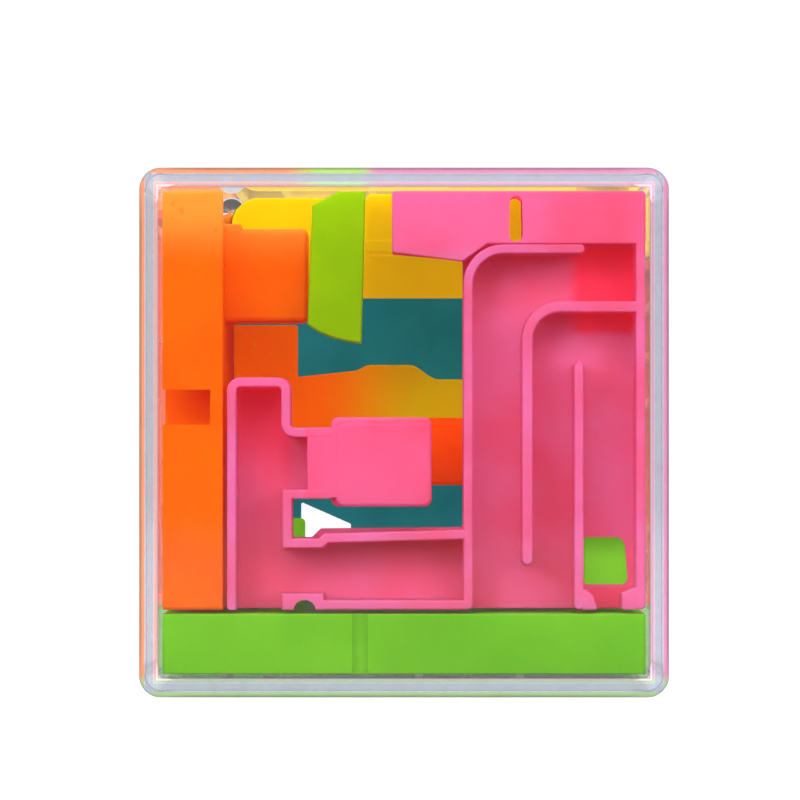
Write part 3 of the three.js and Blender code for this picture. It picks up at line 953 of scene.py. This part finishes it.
# Green: a painted glow on what stands on the bottom plate, for light carried by the plastic.
GREEN = moulded_plastic(
    "green_plastic", colour(0.24, 0.62, 0.015), colour(0.19, 0.55, 0.01), (0.6, 1.0, 0.2),
    painted_glow_share=0.7, painted_glow_part=under_core)
LIME = moulded_plastic(
    "lime_plastic", colour(0.4, 0.61, 0.001), colour(0.32, 0.52, 0.001), (0.6, 1.0, 0.2))
# Amber: a painted glow in the core, and painted shade tinted orange at its left end.
AMBER = moulded_plastic(
    "amber_plastic", colour(0.64, 0.55, 0.0), colour(0.62, 0.46, 0.0), (1.0, 0.6, 0.1),
    painted_glow_share=0.5, painted_light=colour(0.85, 0.2, 0.0), painted_light_share=painted_orange_shade)
CLEAR = clear_plastic("clear_case_plastic")
STEEL = polished_steel("polished_steel")


# ---------------------------------------------------------------- the object

finished("case_base_clear", case_base(), CLEAR, "case_base", "cube")
finished("case_lid_clear", case_lid(), CLEAR, "case_lid", "lid")
finished("front_plate_moulding", front_plate(), PINK, "front_plate", "cube")
finished("left_plate_moulding", left_plate(), ORANGE, "left_plate", "cube")
finished("right_plate_moulding", right_plate(), RED, "right_plate", "cube")
finished("back_plate_moulding", back_plate(), TEAL, "back_plate", "cube")
finished("top_plate_moulding", top_plate(), YELLOW, "top_plate", "cube")
finished("bottom_plate_moulding", bottom_plate(), GREEN, "bottom_plate", "cube")
finished("funnel_moulding", funnel(), LIME, "funnel", "cube")
finished("crossing_chute_moulding", crossing_chute(), AMBER, "crossing_chute", "cube")
finished("steel_ball_polished", steel_ball(), STEEL, "steel_ball", "ball")


# ---------------------------------------------------------------- floor, light and camera

def pale_floor():
    """A wide flat floor that turns up in a quarter circle a long way behind the cube."""
    front, far, rise, top, width = -3.0, 1.6, 0.9, 3.0, 3.0
    below = 0.00002
    turn = np.linspace(0, math.pi / 2, 24)
    reach = np.concatenate([[front], far + rise * np.sin(turn), [far + rise]])
    height = np.concatenate([[0.0], rise * (1 - np.cos(turn)), [top]]) - below
    left = np.column_stack([np.full_like(reach, -width), reach, height])
    right = left * np.array([-1, 1, 1])
    points = np.stack([left, right], axis=1).reshape(-1, 3)
    faces = [(2 * k, 2 * k + 1, 2 * k + 3, 2 * k + 2) for k in range(len(reach) - 1)]
    mesh = bpy.data.meshes.new("pale_floor")
    mesh.from_pydata(points.tolist(), [], faces)
    mesh.shade_smooth()
    mesh.materials.append(pale_surface("pale_floor"))
    floor = bpy.data.objects.new("pale_floor", mesh)
    bpy.context.scene.collection.objects.link(floor)
    floor.visible_glossy = False


def aimed(item, place, target):
    """An object set at a place, its -Z axis towards a target."""
    item.location = place
    item.rotation_mode = "QUATERNION"
    item.rotation_quaternion = (Vector(target) - Vector(place)).to_track_quat("-Z", "Y")
    bpy.context.scene.collection.objects.link(item)
    return item


def soft_light(name, place, target, size, power):
    """A round lamp that lights surfaces and isn't mirrored in the case."""
    light = bpy.data.lights.new(name, "AREA")
    light.shape = "DISK"
    light.size = size
    light.energy = power
    lamp = aimed(bpy.data.objects.new(name, light), place, target)
    lamp.visible_glossy = False
    lamp.visible_transmission = False


def seen_through_case(tree):
    """One for a ray from the camera, and for one that the case lets through or pipes along a wall."""
    path = tree.nodes.new("ShaderNodeLightPath").outputs

    def joined(operation, *values):
        made = tree.nodes.new("ShaderNodeMath")
        made.operation = operation
        for socket, value in zip(made.inputs, values):
            if isinstance(value, float):
                socket.default_value = value
            else:
                tree.links.new(value, socket)
        return made.outputs["Value"]

    straight = joined("LESS_THAN", path["Diffuse Depth"], 0.5)
    mirrored_once = joined("COMPARE", path["Glossy Depth"], 1.0, 0.5)
    piped = joined("MULTIPLY", straight, joined("SUBTRACT", 1.0, mirrored_once))
    piped = joined("MULTIPLY", piped, path["Is Transmission Ray"])
    return joined("MAXIMUM", piped, path["Is Camera Ray"])


# Each lamp's name, place and diameter in metres, and power in watts.
LAMPS = [
    ("left_front_light", (-0.36, -0.56, 0.26), 0.4, 4.5),
    ("right_front_light", (0.36, -0.56, 0.22), 0.4, 4.1),
    ("high_front_light", (0.0, -0.5, 0.45), 0.4, 3.7),
    ("top_light", (0.0, 0.0, 0.7), 0.6, 8.0),
    ("left_back_light", (-0.5, 0.5, 0.3), 0.5, 6.0),
    ("right_back_light", (0.5, 0.5, 0.3), 0.5, 6.0),
]


def studio():
    """Soft lamps all round and above, and a white surround that is dim where it lights the case."""
    for name, place, size, power in LAMPS:
        soft_light(name, place, tuple(MIDDLE * MM), size, power)
    world = bpy.data.worlds.new("studio")
    world.use_nodes = True
    tree = world.node_tree
    strength = tree.nodes.new("ShaderNodeMapRange")
    strength.inputs["To Min"].default_value = SURROUND
    tree.links.new(seen_through_case(tree), strength.inputs["Value"])
    tree.links.new(strength.outputs["Result"], tree.nodes["Background"].inputs["Strength"])
    tree.nodes["Background"].inputs["Color"].default_value = WHITE
    scene = bpy.context.scene
    scene.world = world
    scene.view_settings.view_transform = "Standard"
    scene.cycles.caustics_refractive = False
    scene.cycles.caustics_reflective = False


def camera():
    """A long lens nearly square on to the front face, level with the middle of the cube."""
    distance, aside, above = 0.378, -0.00032, 0.00257
    data = bpy.data.cameras.new("camera")
    data.sensor_width = 36
    data.lens = 215
    middle = MIDDLE * MM
    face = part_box("case_lid")[0].y
    place = (middle[0], face - distance, middle[2])
    target = (middle[0] + aside, face, middle[2] + above)
    bpy.context.scene.camera = aimed(bpy.data.objects.new("camera", data), place, target)


pale_floor()
studio()
camera()
